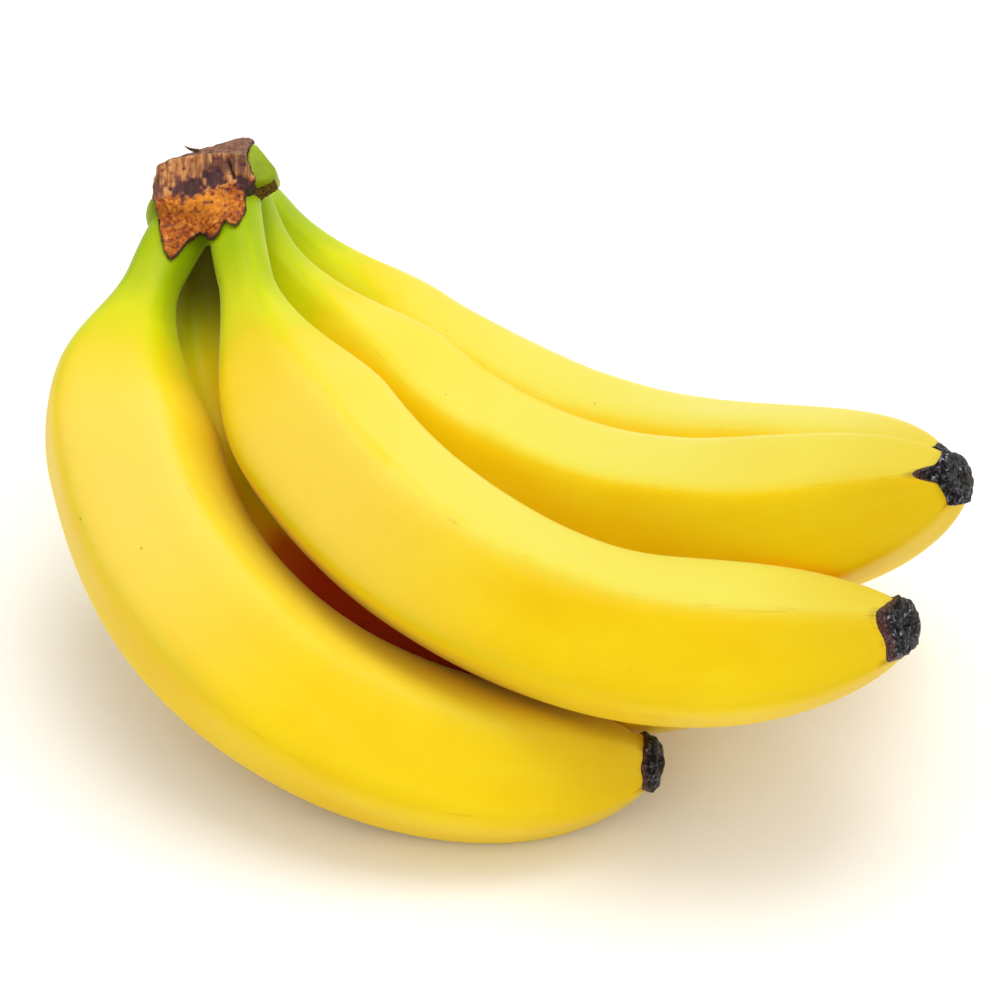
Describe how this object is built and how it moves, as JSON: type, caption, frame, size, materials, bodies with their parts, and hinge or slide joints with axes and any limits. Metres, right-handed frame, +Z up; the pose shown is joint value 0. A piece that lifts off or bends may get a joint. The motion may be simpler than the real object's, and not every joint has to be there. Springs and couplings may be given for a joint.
{
  "type": "bunch of bananas",
  "caption": "Ripe bananas still joined at their cut crown, lying on their bellies with the crown raised at one end and the dark tips at the other.",
  "frame": {"origin": "middle of the footprint, on the surface that the bunch lies on", "axes": "+X from the crown to the tips, +Y away from the front finger, +Z up"},
  "size_m": [0.1824, 0.15, 0.0843],
  "materials": {
    "peel": "smooth waxy yellow skin, green at the necks",
    "blossom_end": "dry, rough and nearly black",
    "crown": "dry brown cut cork over green skin"
  },
  "bodies": {
    "root": {"banana_upper_front": "peel", "tip_upper_front": "blossom_end", "banana_upper_back": "peel", "tip_upper_back": "blossom_end", "banana_back": "peel", "tip_back": "blossom_end", "banana_front": "peel", "tip_front": "blossom_end", "banana_middle": "peel", "tip_middle": "blossom_end", "crown": "crown"}
  },
  "joints": []
}
